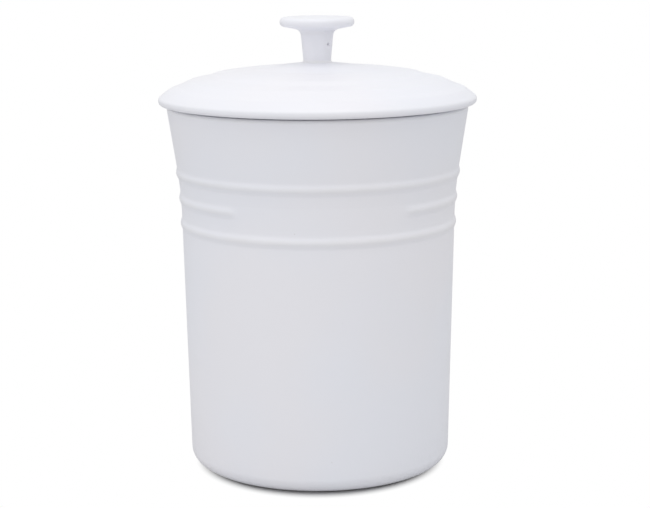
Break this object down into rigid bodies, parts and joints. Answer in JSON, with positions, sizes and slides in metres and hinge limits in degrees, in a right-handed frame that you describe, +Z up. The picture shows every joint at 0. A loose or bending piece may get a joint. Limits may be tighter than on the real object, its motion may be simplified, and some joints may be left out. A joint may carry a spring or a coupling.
{
  "type": "storage canister",
  "caption": "Glazed stoneware storage canister with a flared, ribbed pot and a stepped, domed lid with a flat-topped knob and a plug with a soft seal.",
  "frame": {"origin": "middle of the foot ring's underside, on the ground that the canister stands on", "axes": "+Z up the canister's turning axis, -Y towards the front with the bare panel, +X to the right seen from the front"},
  "size_m": [0.1898, 0.1898, 0.2705],
  "materials": {
    "body_glaze": "gloss",
    "lid_glaze": "gloss",
    "knob_glaze": "gloss",
    "silicone": "satin"
  },
  "bodies": {
    "pot": {"canister_body": "body_glaze"},
    "seal": {"lid_seal": "silicone"},
    "lid": {"lid": "lid_glaze", "knob": "knob_glaze"}
  },
  "joints": [
    {"name": "lid_lift", "type": "slide", "parent": "pot", "child": "seal", "axis": [0, 0, 1], "range_m": [0, 0.15]},
    {"name": "lid_turn", "type": "hinge", "parent": "seal", "child": "lid", "pos_m": [0, 0, 0.2187], "axis": [0, 0, 1], "continuous": true}
  ]
}
